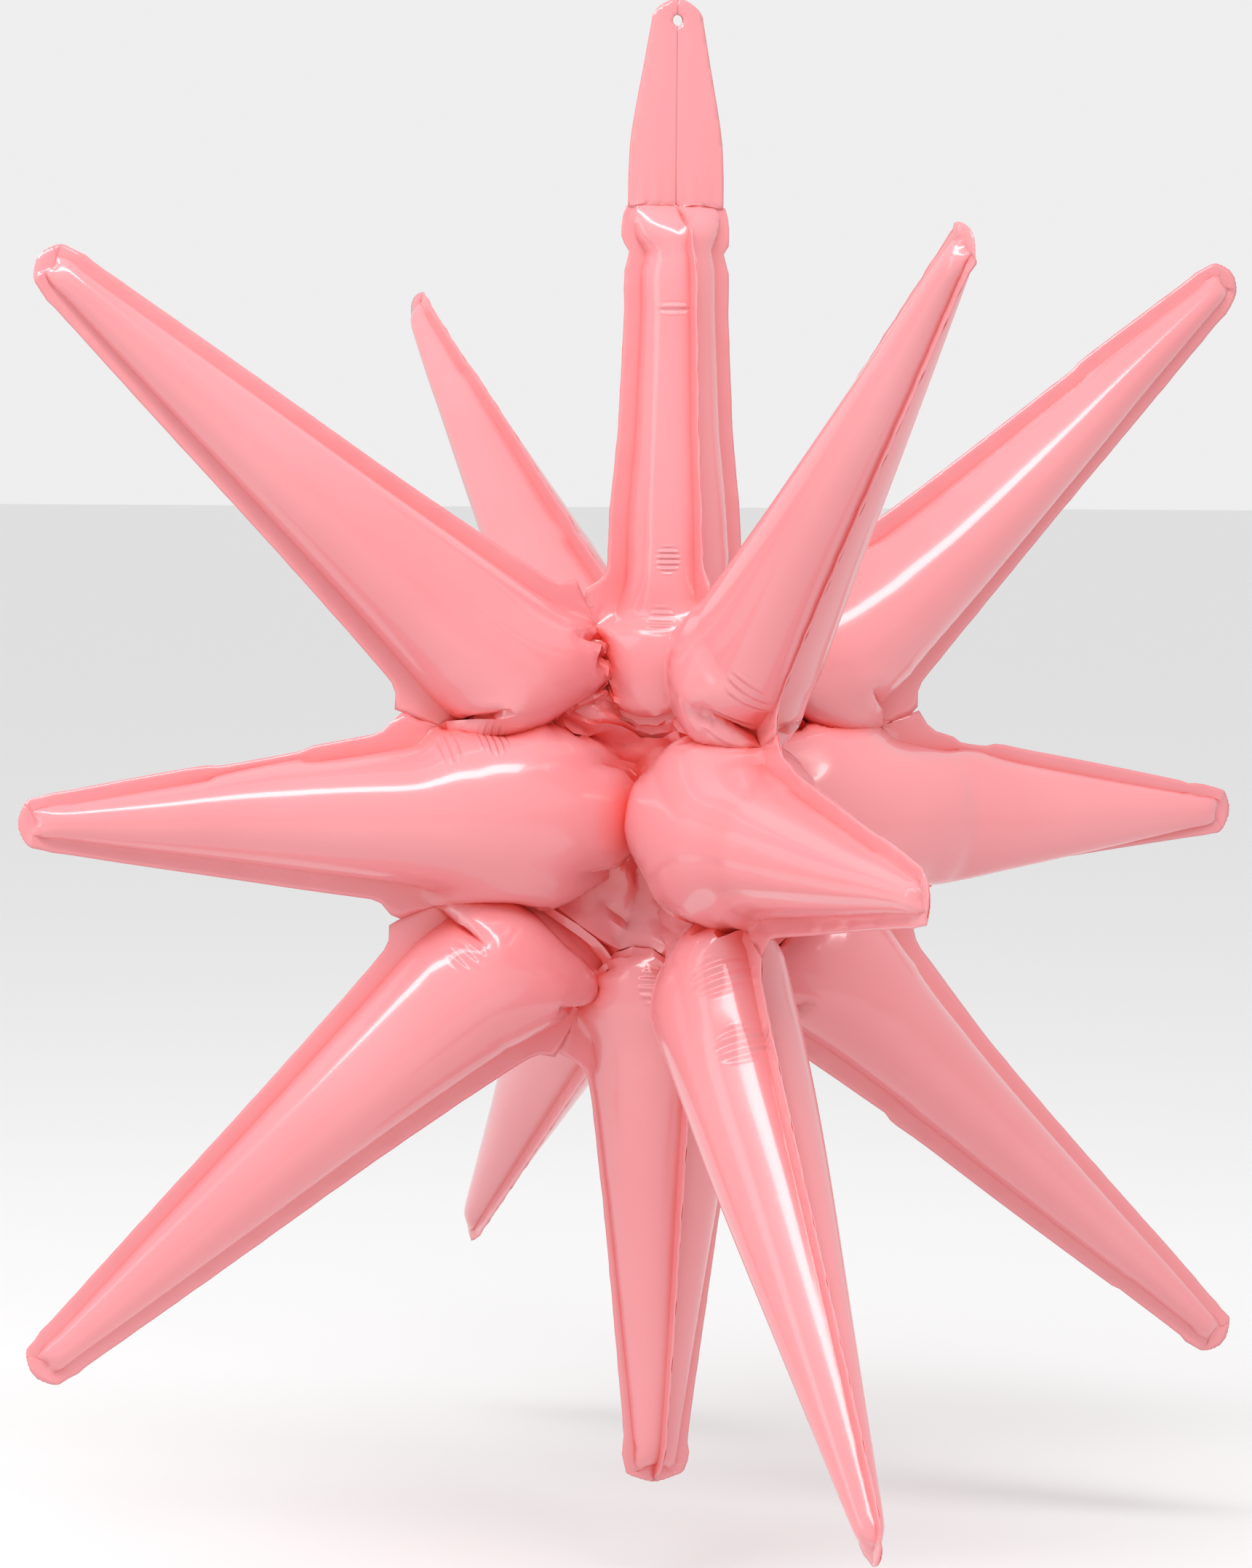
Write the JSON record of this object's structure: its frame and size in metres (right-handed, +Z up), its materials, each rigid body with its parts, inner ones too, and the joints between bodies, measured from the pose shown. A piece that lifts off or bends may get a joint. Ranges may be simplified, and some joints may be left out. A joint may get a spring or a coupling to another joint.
{
  "type": "starburst foil balloon",
  "caption": "Inflated foil balloon with long tapering arms all round and a flat punched tab above a neck fold, for hanging as party decoration.",
  "frame": {"origin": "centre of the hanging hole in the tab, midway through the films", "axes": "+Z up from the star's centre to the hole, -Y towards the front arm, +X towards the right arm"},
  "size_m": [0.6, 0.6, 0.683],
  "materials": {
    "pink_foil": "smooth, glossy pastel pink film",
    "valve_film": "thin clear-white film"
  },
  "bodies": {
    "hanging_tab": {"tab_front_left": "pink_foil", "tab_front_right": "pink_foil", "tab_rear_left": "pink_foil", "tab_rear_right": "pink_foil", "valve_inlet_front": "valve_film", "valve_inlet_rear": "valve_film"},
    "balloon": {"gore_front_left": "pink_foil", "gore_front_right": "pink_foil", "gore_rear_left": "pink_foil", "gore_rear_right": "pink_foil", "valve_sleeve_front": "valve_film", "valve_sleeve_rear": "valve_film"}
  },
  "joints": [
    {"name": "neck_fold", "type": "hinge", "parent": "hanging_tab", "child": "balloon", "pos_m": [0, 0, -0.081], "axis": [1, 0, 0], "range_deg": [-90, 90]}
  ]
}
